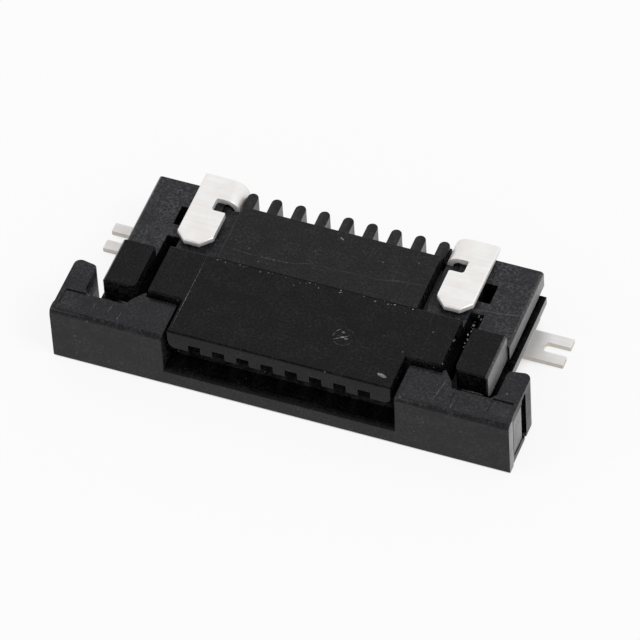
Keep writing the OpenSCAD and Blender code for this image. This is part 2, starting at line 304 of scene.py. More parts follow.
@dataclass(frozen=True)
class MouldedPlastic:
    """Black glass-filled resin, satin, with a fine grain, rubbed streaks, specks and dust.

    Scales are in cycles per metre, and grain_depth is in metres.
    """

    name: str
    dark: Colour = (0.0006, 0.0006, 0.0008, 1.0)
    light: Colour = (0.034, 0.032, 0.035, 1.0)
    rubbed: Colour = (0.20, 0.20, 0.21, 1.0)
    roughness: Point = (0.18, 0.32)
    specular: float = 0.2
    fine_scale: float = 9500.0
    fine_span: Point = (0.4, 0.72)
    cloud_scale: float = 1300.0
    cloud_share: float = 0.7
    cloud_least: float = 0.35
    grain_depth: float = 0.002 * MM
    dust: float = 0.0
    dust_roughness: float = 0.3
    streak_angle: float = math.radians(62.0)
    streak_squeeze: Place = (0.1, 1.0, 0.6)
    streaks: float = 0.25
    specks: float = 0.35

    def material(self) -> bpy.types.Material:
        """Makes the material from the grain, streak and speck groups.

        Returns:
            The material.
        """
        material, tree, shader = new_material(self.name)
        place = tree.node("ShaderNodeTexCoord").outputs["Object"]
        turned = tree.node("ShaderNodeMapping", {"Vector": place, "Rotation": (0.0, 0.0, -self.streak_angle),
                                                 "Scale": self.streak_squeeze}).outputs["Vector"]
        grain = tree.group(grain_group(), place, Fine_Scale=self.fine_scale, Cloud_Scale=self.cloud_scale)
        streak = tree.group(scuff_group(), turned).outputs["Mask"]
        speck = tree.group(speck_group(), place).outputs["Mask"]
        cloud = tree.math("ADD", tree.math("MULTIPLY", grain.outputs["Cloud"], self.cloud_share),
                          self.cloud_least)
        tone = tree.math("MULTIPLY", tree.ramp(grain.outputs["Fine"], *self.fine_span), cloud, clamp=True)
        marks = tree.math("ADD", tree.math("MULTIPLY", streak, self.streaks),
                          tree.math("MULTIPLY", speck, self.specks), clamp=True)
        tree.feed(shader, {
            "Base Color": tree.blend(marks, tree.blend(tone, self.dark, self.light), self.rubbed),
            "Roughness": tree.ramp(grain.outputs["Cloud"], low=0.0, high=1.0, to=self.roughness),
            "Normal": tree.bump(grain.outputs["Fine"], self.grain_depth),
            "Specular IOR Level": self.specular,
            "Sheen Weight": self.dust,
            "Sheen Roughness": self.dust_roughness})
        return material


@dataclass(frozen=True)
class PlatedMetal:
    """Strip metal with a matte plated skin: tin on the nails, or a thin flash on the contacts.

    Scales are in cycles per metre, and grain_depth is in metres.
    """

    name: str
    colour: Colour = (0.92, 0.92, 0.905, 1.0)
    dull: Colour = (0.82, 0.75, 0.72, 1.0)
    roughness: Point = (0.30, 0.46)
    metallic: float = 0.35
    fine_scale: float = 8000.0
    cloud_scale: float = 1300.0
    mottle: float = 0.4
    grain_depth: float = 0.0012 * MM
    line_scale: float = 500.0
    line_squeeze: Place = (1.0, 14.0, 14.0)
    rolling: float = 0.25

    def material(self) -> bpy.types.Material:
        """Makes the material: mottled plating over faint rolling lines.

        Returns:
            The material.
        """
        material, tree, shader = new_material(self.name)
        place = tree.node("ShaderNodeTexCoord").outputs["Object"]
        drawn = tree.node("ShaderNodeMapping", {"Vector": place, "Scale": self.line_squeeze}).outputs[0]
        grain = tree.group(grain_group(), place, Fine_Scale=self.fine_scale, Cloud_Scale=self.cloud_scale)
        lines = tree.ramp(tree.noise(drawn, self.line_scale, detail=2.0), low=0.35, high=0.75)
        tone = tree.math("ADD", tree.math("MULTIPLY", lines, self.rolling),
                         tree.math("MULTIPLY", grain.outputs["Cloud"], self.mottle), clamp=True)
        tree.feed(shader, {
            "Base Color": tree.blend(tone, self.colour, self.dull),
            "Roughness": tree.ramp(tone, low=0.0, high=0.6, to=self.roughness),
            "Normal": tree.bump(grain.outputs["Fine"], self.grain_depth),
            "Metallic": self.metallic})
        return material


FINISHES: dict[Skin, MouldedPlastic | PlatedMetal] = {
    Skin.SATIN: MouldedPlastic("black_resin"),
    Skin.POLISHED: MouldedPlastic(
        "black_resin_polished", light=(0.022, 0.0205, 0.021, 1.0), specular=0.13, streaks=0.1),
    Skin.ROUGH: MouldedPlastic(
        "black_resin_rough", dark=(0.012, 0.012, 0.014, 1.0), light=(0.09, 0.09, 0.096, 1.0),
        roughness=(0.3, 0.45), streaks=0.9, cloud_scale=1500.0),
    # A lighter resin with a strong sheen lobe for the end faces that look along X: painted reflection of the
    # floor.
    Skin.PAINTED_REFLECTION: MouldedPlastic(
        "black_resin_painted_reflection", dark=(0.01, 0.01, 0.01, 1.0), light=(0.12, 0.118, 0.115, 1.0),
        roughness=(0.25, 0.4), specular=0.4, dust=0.9),
    # Near-black resin with little reflection: painted shade on the housing's rail tops, the slider's grooves
    # and its low front bar.
    Skin.DARK: MouldedPlastic("black_resin_painted_shade", light=(0.012, 0.012, 0.012, 1.0), specular=0.08),
    Skin.LIGHT: MouldedPlastic(
        "black_slider_resin", dark=(0.008, 0.0075, 0.009, 1.0), light=(0.055, 0.052, 0.058, 1.0),
        specks=0.5, streaks=0.6),
    Skin.TORN: MouldedPlastic(
        "torn_resin", dark=(0.05, 0.05, 0.05, 1.0), light=(0.6, 0.6, 0.6, 1.0),
        roughness=(0.3, 0.5), specular=0.5),
    # Pale resin for the slider's mark ridges: painted highlights.
    Skin.PAINTED_HIGHLIGHT: MouldedPlastic(
        "resin_painted_highlight", dark=(0.03, 0.03, 0.032, 1.0), light=(0.3, 0.3, 0.31, 1.0),
        roughness=(0.25, 0.4), specular=0.5),
    Skin.TIN: PlatedMetal("matte_tin"),
    Skin.SHEARED: PlatedMetal(
        "sheared_edge", colour=(0.66, 0.62, 0.55, 1.0), dull=(0.5, 0.46, 0.4, 1.0)),
    Skin.BRONZE: PlatedMetal(
        "plated_bronze", colour=(0.86, 0.80, 0.70, 1.0), dull=(0.66, 0.60, 0.50, 1.0), metallic=1.0),
}


@cache
def finish(skin: Skin) -> bpy.types.Material:
    """Makes the material of a skin, once."""
    return FINISHES[skin].material()


# ---- mesh helpers


def add_object(name: str, data: bpy.types.ID) -> bpy.types.Object:
    """Links a new object at the origin.

    Args:
        name: the object's name.
        data: its mesh, camera or lamp.

    Returns:
        The object.
    """
    made = bpy.data.objects.new(name, data)
    bpy.context.scene.collection.objects.link(made)
    return made


def plain_object(name: str, shape: Shape) -> bpy.types.Object:
    """Turns a shape into an object.

    Args:
        name: the object's name.
        shape: the shape, freed here.

    Returns:
        The object.
    """
    mesh = bpy.data.meshes.new(name)
    shape.to_mesh(mesh)
    shape.free()
    return add_object(name, mesh)


def smooth_object(name: str, shape: Shape) -> bpy.types.Object:
    """Turns a shape into an object with soft normals on its rounded stretches.

    Args:
        name: the object's name.
        shape: the shape, freed here.

    Returns:
        The object.
    """
    for face in shape.faces:
        face.smooth = True
    for edge in shape.edges:
        edge.smooth = len(edge.link_faces) == 2 and edge.calc_face_angle(0.0) < SMOOTH_TURN
    made = plain_object(name, shape)
    weigh = made.modifiers.new("even_normals", "WEIGHTED_NORMAL")
    weigh.keep_sharp = True
    return made


def join_flat(shape: Shape) -> None:
    """Joins the faces of a shape that lie in one plane."""
    bmesh.ops.dissolve_limit(shape, angle_limit=FLAT_TURN, verts=shape.verts, edges=shape.edges,
                             delimit={"NORMAL"})


def merged_copy(node: str) -> Shape:
    """Copies a CAD node's mesh, with its doubles merged and its flat faces made whole.

    Args:
        node: the CAD node's name.

    Returns:
        The copy.
    """
    shape = bmesh.new()
    shape.from_mesh(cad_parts[node].data)
    bmesh.ops.remove_doubles(shape, verts=shape.verts, dist=MERGE_REACH)
    join_flat(shape)
    return shape


def soften(shape: Shape, width: float, segments: int,
           chosen: Callable[[bmesh.types.BMEdge], bool] | None = None, room: float = 2.5) -> None:
    """Rounds the sharp edges of a shape, apart from those that have no room for it.

    Args:
        shape: the shape that is changed.
        width: how far the rounding reaches from an edge, in millimetres.
        segments: steps across the rounding.
        chosen: tells whether an edge is rounded; all sharp ones are without it.
        room: the least length of the edges beside it, in widths.
    """
    sharp = {edge for edge in shape.edges
             if len(edge.link_faces) == 2 and edge.calc_face_angle(0.0) > SHARP_TURN
             and (chosen is None or chosen(edge))}
    tight = {vert for edge in shape.edges if edge.calc_length() < room * width * MM for vert in edge.verts}
    roomy = [edge for edge in sharp if not tight.intersection(edge.verts)]
    bmesh.ops.bevel(shape, geom=roomy, offset=width * MM, segments=segments, profile=0.5, affect="EDGES",
                    clamp_overlap=False)


def keep_inside(shape: Shape, node: str) -> None:
    """Moves the points of a shape that lie outside a CAD node's box back onto it.

    Args:
        shape: the shape that is changed.
        node: the CAD node's name.
    """
    low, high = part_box(node)
    for vert in shape.verts:
        vert.co = [min(max(value, a), b) for value, a, b in zip(vert.co, low, high)]


def carved(shape: Shape, cutter: Shape) -> Shape:
    """Cuts one shape out of another.

    Args:
        shape: the shape that is cut, freed here.
        cutter: what is taken away, freed here.

    Returns:
        The shape that is left.
    """
    bmesh.ops.recalc_face_normals(cutter, faces=cutter.faces)
    target, tool = plain_object("carved", shape), plain_object("cutter", cutter)
    cut = target.modifiers.new("cut", "BOOLEAN")
    cut.operation = "DIFFERENCE"
    cut.solver = "EXACT"
    cut.object = tool
    graph = bpy.context.evaluated_depsgraph_get()
    left = bmesh.new()
    left.from_mesh(target.evaluated_get(graph).data)
    for piece in (target, tool):
        bpy.data.objects.remove(piece)
    join_flat(left)
    return left


def boxes(corners: Iterable[Box]) -> Shape:
    """Makes boxes as one shape.

    Args:
        corners: the low and the high corner of each box, in millimetres.

    Returns:
        The shape.
    """
    shape = bmesh.new()
    for low, high in corners:
        middle = (Vector(low) + Vector(high)) / 2 * MM
        size = (Vector(high) - Vector(low)) * MM
        place = Matrix.Translation(middle) @ Matrix.Diagonal(size).to_4x4()
        bmesh.ops.create_cube(shape, size=1.0, matrix=place)
    return shape


def add_prism(shape: Shape, outline: Sequence[Point], front: float, rear: float) -> None:
    """Adds a prism along Y.

    Args:
        shape: the shape that it is added to.
        outline: its section as x and z, in millimetres.
        front: where it starts, in millimetres.
        rear: where it ends, in millimetres.
    """
    ends = [[shape.verts.new(Vector((x, y, z)) * MM) for x, z in outline] for y in (front, rear)]
    for k in range(len(outline)):
        shape.faces.new((ends[0][k - 1], ends[0][k], ends[1][k], ends[1][k - 1]))
    shape.faces.new(ends[0])
    shape.faces.new(ends[1][::-1])


def paint(piece: bpy.types.Object, skins: Sequence[Skin],
          choose: Callable[[Vector, Vector], Skin]) -> None:
    """Gives each face of a piece one of several finishes.

    Args:
        piece: the piece.
        skins: the skins that it has.
        choose: takes a face's centre in millimetres and its normal, and returns its skin.
    """
    for skin in skins:
        piece.data.materials.append(finish(skin))
    for face in piece.data.polygons:
        face.material_index = skins.index(choose(face.center / MM, face.normal))


def mount(piece: bpy.types.Object, body: Body, slot: Slot, nodes: Sequence[str] = ()) -> None:
    """Ties a dressed piece to its body and reports it.

    Args:
        piece: the piece.
        body: the CAD body that it rides on.
        slot: the piece's material slot; not used.
        nodes: the CAD nodes that it stands for.
    """
    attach(piece, body.value)
    if nodes:
        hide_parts(*nodes)
    LOG.info("%s: %d faces, rides on %s", piece.name, len(piece.data.polygons), body.value)


def geometry_group(name: str, inputs: dict[str, str],
                   fill: Callable[[Tree, dict[str, Socket]], Socket]) -> bpy.types.NodeTree:
    """Builds a Geometry Nodes group that makes its instances real and dresses them.

    Args:
        name: the group's name.
        inputs: input name to its socket type, besides Geometry and Finish.
        fill: makes the inner nodes and returns the instances.

    Returns:
        The node group.
    """
    group = bpy.data.node_groups.new(name, "GeometryNodeTree")
    kinds = {"Geometry": "NodeSocketGeometry", **inputs, "Finish": "NodeSocketMaterial"}
    for key, kind in kinds.items():
        group.interface.new_socket(key, in_out="INPUT", socket_type=kind)
    tree = Tree(group)
    entry = dict(group.nodes.new("NodeGroupInput").outputs.items())
    real = tree.node("GeometryNodeRealizeInstances", {0: fill(tree, entry)}).outputs[0]
    dress = tree.node("GeometryNodeSetMaterial", {"Geometry": real, "Material": entry["Finish"]})
    return tree.close("NodeSocketGeometry", {"Geometry": dress.outputs[0]})


def baked(source: bpy.types.Object, group: bpy.types.NodeTree, name: str,
          values: dict[str, object]) -> bpy.types.Object:
    """Runs a Geometry Nodes group on an object and keeps the result as a plain mesh.

    Args:
        source: the object that the group runs on, deleted afterwards.
        group: the group.
        name: the result's name.
        values: input name to its value.

    Returns:
        A new object with the result.
    """
    modifier = source.modifiers.new(name, "NODES")
    modifier.node_group = group
    for item in group.interface.items_tree:
        if item.in_out == "INPUT" and item.name in values:
            modifier[item.identifier] = values[item.name]
    graph = bpy.context.evaluated_depsgraph_get()
    mesh = bpy.data.meshes.new_from_object(source.evaluated_get(graph), depsgraph=graph)
    bpy.data.objects.remove(source)
    mesh.name = name
    return add_object(name, mesh)


# ---- sub-assemblies


@dataclass
class Housing:
    """The moulded housing."""

    skins: tuple[Skin, ...] = (Skin.SATIN, Skin.POLISHED, Skin.ROUGH, Skin.PAINTED_REFLECTION, Skin.DARK)
    edge: float = 0.02
    edge_steps: int = 2
    plate_half: float = 4.17
    plate_top: float = 3.07
    plate_span: Point = (-0.165, 2.9)
    plate_rounding: float = 0.15
    plate_steps: int = 6
    cutter_over: float = 0.02
    rail_half: float = 8.26
    rail_low: float = 0.85
    rail_top: float = 1.45
    rail_from: float = 7.6
    rail_least: float = 1.0
    rail_rounding: float = 0.24
    rail_steps: int = 5
    rail_room: float = 0.3
    end_from: float = 7.7
    block_from: float = 4.6
    block_top: float = 2.49
    raised_out: float = 6.55
    raised_from: float = 2.95
    tongue_half: float = 6.06
    tongue_back: float = -0.15
    tongue_low: float = 2.0
    near: float = 0.01
    rail_near: float = 0.03
    block_near: float = 0.05
    tilt: float = 0.3

    def plate_edges(self) -> Shape:
        """Makes what is taken off the rear plate's long top edges to round them.

        Returns:
            The cutter.
        """
        shape = bmesh.new()
        r, over = self.plate_rounding, self.cutter_over
        x, z = self.plate_half - r, self.plate_top - r
        turns = [math.radians(90.0 * k / self.plate_steps) for k in range(self.plate_steps + 1)]
        outline = [(x + r * math.cos(turn), z + r * math.sin(turn)) for turn in turns]
        outline += [(x, z + r + over), (x + r + over, z + r + over), (x + r + over, z)]
        for side in Side:
            add_prism(shape, [(side.value * a, b) for a, b in outline], *self.plate_span)
        return shape

    def on_rail_foot(self, edge: bmesh.types.BMEdge) -> bool:
        """Tells whether an edge is the lower outer edge of a guide rail.

        Args:
            edge: the edge.

        Returns:
            True on such an edge.
        """
        a, b = (end.co / MM for end in edge.verts)
        outer = abs(abs(a.x) - self.rail_half) < self.near and abs(a.x - b.x) < self.near
        low = max(abs(a.z - self.rail_low), abs(b.z - self.rail_low)) < self.near
        return outer and low and (a - b).length > self.rail_least

    def choose(self, centre: Vector, normal: Vector) -> Skin:
        """Chooses a face's skin.

        Args:
            centre: the face's centre, in millimetres.
            normal: the face's normal.

        Returns:
            Its skin.
        """
        out, back, high = abs(centre.x), centre.y, centre.z
        faces_up = normal.z > self.tilt
        # The rail tops get the near-black resin: painted shade.
        if out > self.rail_from and abs(high - self.rail_top) < self.rail_near and faces_up:
            return Skin.DARK
        # End faces that look along X get the lighter sheened resin: painted reflection of the floor.
        if out > self.end_from and abs(normal.x) > self.tilt:
            return Skin.PAINTED_REFLECTION
        if out > self.block_from and abs(high - self.block_top) < self.block_near and faces_up:
            return Skin.ROUGH
        on_tongue = (back < self.tongue_back and high > self.tongue_low and out < self.tongue_half
                     and normal.z > -self.tilt)
        on_raised = out > self.raised_out and high > self.raised_from and faces_up
        return Skin.POLISHED if on_tongue or on_raised else Skin.SATIN

    def build(self) -> None:
        """Builds the moulding."""
        shape = carved(merged_copy("housing"), self.plate_edges())
        soften(shape, self.rail_rounding, self.rail_steps, self.on_rail_foot, self.rail_room)
        soften(shape, self.edge, self.edge_steps)
        for vert in shape.verts:
            vert.co.z = min(vert.co.z, PLATE_TOP * MM)
        keep_inside(shape, "housing")
        piece = smooth_object("housing_moulding", shape)
        paint(piece, self.skins, self.choose)
        mount(piece, Body.BASE, Slot.HOUSING, ["housing"])


@dataclass(frozen=True)
class Streak:
    """A low ridge: its line, its surface, its width, its number of points and how far they stray."""

    start: Point
    end: Point
    top: float = SHOULDER_TOP
    width: float = 0.07
    count: int = 14
    stray: float = 0.012


@dataclass(frozen=True)
class Bump:
    """A low rounded bump: its middle, its two widths, its turn in radians and the surface it lies on."""

    x: float
    y: float
    long: float
    wide: float
    turn: float = 0.0
    top: float = SHOULDER_TOP


@dataclass
class RaisedMarks:
    """Low marks on a moulding, as one piece."""

    name: str
    skin: Skin
    body: Body
    slot: Slot
    seed: int
    streaks: tuple[Streak, ...] = ()
    height: float = 0.011
    sunk: float = 0.01
    ragged: Point = (0.5, 1.0)
    stub: float = 0.15
    taper: float = 0.3
    draw: random.Random = field(init=False, repr=False)
    shape: Shape = field(init=False, repr=False)

    def __post_init__(self) -> None:
        """Starts the random draws and the shape."""
        self.draw = random.Random(self.seed)
        self.shape = bmesh.new()

    def ridge(self, points: Sequence[Point], top: float, width: float) -> None:
        """Adds a low ragged ridge that tapers out at both ends.

        Args:
            points: the line that it follows.
            top: height of the surface that it stands on.
            width: its widest width.
        """
        rows = []
        last = len(points) - 1
        low = top - self.sunk
        for i, (x, y) in enumerate(points):
            before, after = points[max(i - 1, 0)], points[min(i + 1, last)]
            way = Vector((after[0] - before[0], after[1] - before[1])).normalized()
            swell = math.sin(math.pi * (i + self.stub) / (last + 2 * self.stub)) ** self.taper
            share = swell * self.draw.uniform(*self.ragged)
            half = width / 2 * share
            spots = [(x - way.y * half, y + way.x * half, low), (x, y, top + self.height * share),
                     (x + way.y * half, y - way.x * half, low)]
            rows.append([self.shape.verts.new(Vector(spot) * MM) for spot in spots])
        for row, following in zip(rows, rows[1:]):
            for k in range(len(row)):
                self.shape.faces.new((row[k], row[k - 2], following[k - 2], following[k]))
        self.shape.faces.new(rows[0][::-1])
        self.shape.faces.new(rows[-1])

    def streak(self, streak: Streak) -> None:
        """Adds a ridge along a wandering line.

        Args:
            streak: the line and the ridge's size.
        """
        ends = list(zip(streak.start, streak.end))
        points = [tuple(a + (b - a) * i / (streak.count - 1) + self.draw.uniform(-streak.stray, streak.stray)
                        for a, b in ends)
                  for i in range(streak.count)]
        self.ridge(points, streak.top, streak.width)

    def bump(self, bump: Bump) -> None:
        """Adds a low rounded bump.

        Args:
            bump: where it is and how large.
        """
        size = Matrix.Diagonal(Vector((bump.long / 2, bump.wide / 2, self.height))).to_4x4()
        turned = Matrix.Rotation(bump.turn, 4, "Z") @ size
        place = Matrix.Scale(MM, 4) @ Matrix.Translation((bump.x, bump.y, bump.top)) @ turned
        bmesh.ops.create_icosphere(self.shape, subdivisions=2, radius=1.0, matrix=place)

    def fill(self) -> None:
        """Adds all marks, here the streaks."""
        for streak in self.streaks:
            self.streak(streak)

    def build(self) -> None:
        """Builds the marks."""
        self.fill()
        bmesh.ops.recalc_face_normals(self.shape, faces=self.shape.faces)
        piece = smooth_object(self.name, self.shape)
        piece.data.materials.append(finish(self.skin))
        mount(piece, self.body, self.slot)


@dataclass
class MouldMarks(RaisedMarks):
    """What the mould left on the housing: gate scar, parting line, flash, a scratch and two dents."""

    name: str = "mould_marks"
    skin: Skin = Skin.TORN
    body: Body = Body.BASE
    slot: Slot = Slot.HOUSING
    seed: int = 7
    gate: Point = (2.0, -2.45)
    gate_radius: float = 0.42
    gate_width: float = 0.035
    gate_arcs: tuple[Point, ...] = ((20, 70), (115, 80), (215, 120))
    gate_steps: int = 9
    streaks: tuple[Streak, ...] = (
        Streak((1.67, -2.65), (2.2, -2.33), width=0.1, count=9, stray=0.02),
        Streak((1.72, -2.47), (2.05, -2.43), width=0.06, count=6, stray=0.02),
        # The two ridges along x = -4.5 are the real parting line, coloured pale with the torn resin as a
        # painted highlight.
        Streak((-4.5, -4.1), (-4.5, -0.25), width=0.035, count=60, stray=0.006),
        Streak((-4.5, -3.0), (-4.5, -2.1), width=0.06, stray=0.008))
    bumps: tuple[Bump, ...] = (
        Bump(1.92, -2.23, long=0.12, wide=0.1),
        Bump(2.12, -2.5, long=0.16, wide=0.08, turn=0.4),
        Bump(4.07, -3.8, long=0.42, wide=0.16, turn=-0.25),
        Bump(0.18, 2.26, long=0.18, wide=0.07, turn=-0.5, top=PLATE_TOP))
    scratch: tuple[Point, ...] = ((-4.06, 0.46), (-3.04, 0.38), (-1.91, 0.40), (-1.2, 0.46), (-0.56, 0.67))
    scratch_steps: int = 12
    scratch_width: float = 0.028
    dots: int = 26
    dot_x: Point = (-4.2, 4.2)
    dot_y: float = -0.28
    dot_stray: float = 0.06
    dot_long: Point = (0.03, 0.11)
    dot_wide: Point = (0.03, 0.06)

    def arc(self, start: float, sweep: float) -> list[Point]:
        """Makes the points of an arc of the gate's ring.

        Args:
            start: where it starts, in degrees.
            sweep: how far it goes round, in degrees.

        Returns:
            The points.
        """
        x, y = self.gate
        turns = [math.radians(start + sweep * k / self.gate_steps) for k in range(self.gate_steps + 1)]
        return [(x + self.gate_radius * math.cos(turn), y + self.gate_radius * math.sin(turn))
                for turn in turns]

    def curve(self) -> list[Point]:
        """Makes the points of the long scratch, eased through its turning points.

        Returns:
            The points.
        """
        found = []
        last = len(self.scratch) - 1
        for i in range(last):
            a, b = self.scratch[i], self.scratch[i + 1]
            before, after = self.scratch[max(i - 1, 0)], self.scratch[min(i + 2, last)]
            for step in range(self.scratch_steps):
                t = step / self.scratch_steps
                found.append(tuple(0.5 * (2 * a[k] + (b[k] - before[k]) * t
                                          + (2 * before[k] - 5 * a[k] + 4 * b[k] - after[k]) * t ** 2
                                          + (3 * a[k] - before[k] - 3 * b[k] + after[k]) * t ** 3)
                                   for k in range(2)))
        return found

    def dot(self) -> Bump:
        """Draws a dot of flash along the step."""
        return Bump(x=self.draw.uniform(*self.dot_x), y=self.dot_y + self.draw.gauss(0.0, self.dot_stray),
                    long=self.draw.uniform(*self.dot_long), wide=self.draw.uniform(*self.dot_wide),
                    turn=self.draw.uniform(0.0, math.pi))

    def fill(self) -> None:
        """Adds all marks."""
        for start, sweep in self.gate_arcs:
            self.ridge(self.arc(start, sweep), SHOULDER_TOP, self.gate_width)
        super().fill()
        self.ridge(self.curve(), PLATE_TOP, self.scratch_width)
        for bump in self.bumps:
            self.bump(bump)
        for _ in range(self.dots):
            self.bump(self.dot())


@dataclass
class SliderMarkHighlights(RaisedMarks):
    """Low mould-mark ridges on the slider's end blocks, coloured pale as painted highlights."""

    name: str = "slider_mark_highlights"
    skin: Skin = Skin.PAINTED_HIGHLIGHT
    body: Body = Body.SLIDER
    slot: Slot = Slot.SLIDER
    seed: int = 5
    streaks: tuple[Streak, ...] = (
        Streak((6.20, -4.24), (6.42, -2.95), top=2.74),
        Streak((7.0, -4.26), (7.02, -4.02), top=2.74),
        Streak((-6.78, -4.2), (-6.72, -3.72), top=2.74),
        Streak((-7.26, -3.92), (-7.2, -3.42), top=2.71),
        Streak((-7.9, -3.9), (-7.84, -3.5), top=2.71))


@dataclass
class TornFlash:
    """Torn flash and crumbs along the right latch slot, with their density in crumbs a square millimetre."""

    seed: int = 11
    strips: tuple[Box, ...] = (((6.43, -1.7, 2.98), (6.6, -0.45, 3.02)),
                               ((6.25, -0.42, 2.40), (6.6, 0.95, 2.44)),
                               ((6.02, -2.5, 2.98), (6.12, -1.2, 3.0)))
    density: float = 34.0
    crumb: Point = (0.025, 0.085)
    least_shape: Place = (0.5, 0.4, 0.3)
    most_shape: Place = (1.0, 1.0, 0.8)
    full_turn: Place = (math.tau, math.tau, math.tau)

    def bed(self) -> bpy.types.Object:
        """Makes the strips that the crumbs are scattered over, as one sloping sheet each.

        Returns:
            The strips as one object.
        """
        shape = bmesh.new()
        for low, high in self.strips:
            corners = [(low[0], low[1], low[2]), (high[0], low[1], high[2]), (high[0], high[1], high[2]),
                       (low[0], high[1], low[2])]
            shape.faces.new([shape.verts.new(Vector(corner) * MM) for corner in corners])
        return plain_object("crumb_bed", shape)

    def scatter(self, tree: Tree, entry: dict[str, Socket]) -> Socket:
        """Makes the nodes that scatter the crumbs.

        Args:
            tree: the group's tree.
            entry: the group's inputs.

        Returns:
            The crumbs as instances.
        """
        seed = entry["Seed"]
        spots = tree.node("GeometryNodeDistributePointsOnFaces", {
            "Mesh": entry["Geometry"], "Density": entry["Density"], "Seed": seed})
        grain = tree.node("GeometryNodeMeshIcoSphere", {"Radius": 1.0, "Subdivisions": 1})
        size = tree.node("FunctionNodeRandomValue", {"Min": self.least_shape, "Max": self.most_shape,
                                                     "Seed": seed}, data_type="FLOAT_VECTOR")
        reach = tree.node("FunctionNodeRandomValue", {2: entry["Smallest"], 3: entry["Largest"],
                                                      "Seed": seed}, data_type="FLOAT")
        scaled = tree.node("ShaderNodeVectorMath", {0: size.outputs[0], "Scale": reach.outputs[1]},
                           operation="SCALE")
        turned = tree.node("FunctionNodeRandomValue", {"Max": self.full_turn, "Seed": seed},
                           data_type="FLOAT_VECTOR")
        spread = tree.node("GeometryNodeInstanceOnPoints", {
            "Points": spots.outputs[0], "Instance": grain.outputs[0], "Rotation": turned.outputs[0],
            "Scale": scaled.outputs[0]})
        return spread.outputs[0]

    def build(self) -> None:
        """Scatters the crumbs with Geometry Nodes."""
        group = geometry_group("crumbs", {"Density": "NodeSocketFloat", "Seed": "NodeSocketInt",
                                          "Smallest": "NodeSocketFloat", "Largest": "NodeSocketFloat"},
                               self.scatter)
        crumbs = baked(self.bed(), group, "slot_crumbs", {
            "Density": self.density / MM ** 2, "Seed": self.seed, "Smallest": self.crumb[0] * MM,
            "Largest": self.crumb[1] * MM, "Finish": finish(Skin.TORN)})
        mount(crumbs, Body.BASE, Slot.HOUSING)


@dataclass
class SliderLock:
    """The sliding lock."""

    skins: tuple[Skin, ...] = (Skin.LIGHT, Skin.DARK, Skin.PAINTED_REFLECTION, Skin.SATIN)
    edge: float = 0.022
    edge_steps: int = 2
    end_x: float = 9.3
    end_rounding: float = 0.06
    end_steps: int = 3
    end_least: float = 0.35
    groove: Point = (-2.95, -2.52)
    groove_depth: float = 0.22
    groove_z: Point = (0.25, 2.55)
    groove_clear: float = 0.1
    groove_from: float = 9.0
    groove_under: float = 2.6
    bar_half: float = 4.9
    bar_top: float = 1.0
    near: float = 0.01
    tilt: float = 0.3
    front_tilt: float = 0.6

    def in_groove(self, y: float, beside: float) -> bool:
        """Tells whether a depth is in the groove, or not further than beside from it."""
        return self.groove[0] - beside < y < self.groove[1] + beside

    def on_end_face(self, edge: bmesh.types.BMEdge) -> bool:
        """Tells whether an edge is a long one at an end face, away from its groove."""
        a, b = (end.co / MM for end in edge.verts)
        return (min(abs(a.x), abs(b.x)) > self.end_x and (a - b).length > self.end_least
                and not self.in_groove((a.y + b.y) / 2, self.groove_clear))

    def choose(self, centre: Vector, normal: Vector) -> Skin:
        """Chooses a face's skin.

        Args:
            centre: the face's centre, in millimetres.
            normal: the face's normal.

        Returns:
            Its skin.
        """
        out = abs(centre.x)
        # The grooves' faces get the near-black resin: painted shade.
        if self.in_groove(centre.y, self.near) and out > self.groove_from and centre.z < self.groove_under:
            return Skin.DARK
        # End faces that look along X get the lighter sheened resin: painted reflection of the floor.
        if out > self.end_x and abs(normal.x) > self.tilt:
            return Skin.PAINTED_REFLECTION
        # The low front bar gets the near-black resin: painted shade.
        if out < self.bar_half and centre.z < self.bar_top:
            return Skin.DARK
        # Faces that look towards -Y take the darker satin resin as painted shade; the other faces keep the
        # slider's lighter resin.
        return Skin.SATIN if normal.y < -self.front_tilt else Skin.LIGHT

    def build(self) -> None:
        """Builds the moulding."""
        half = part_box("slider")[1].x / MM
        bottom, top = self.groove_z
        grooves = [((side.value * half - self.groove_depth, self.groove[0], bottom),
                    (side.value * half + self.groove_depth, self.groove[1], top)) for side in Side]
        shape = carved(merged_copy("slider"), boxes(grooves))
        soften(shape, self.end_rounding, self.end_steps, self.on_end_face)
        soften(shape, self.edge, self.edge_steps)
        keep_inside(shape, "slider")
        piece = smooth_object("slider_moulding", shape)
        paint(piece, self.skins, self.choose)
        mount(piece, Body.SLIDER, Slot.SLIDER, ["slider"])


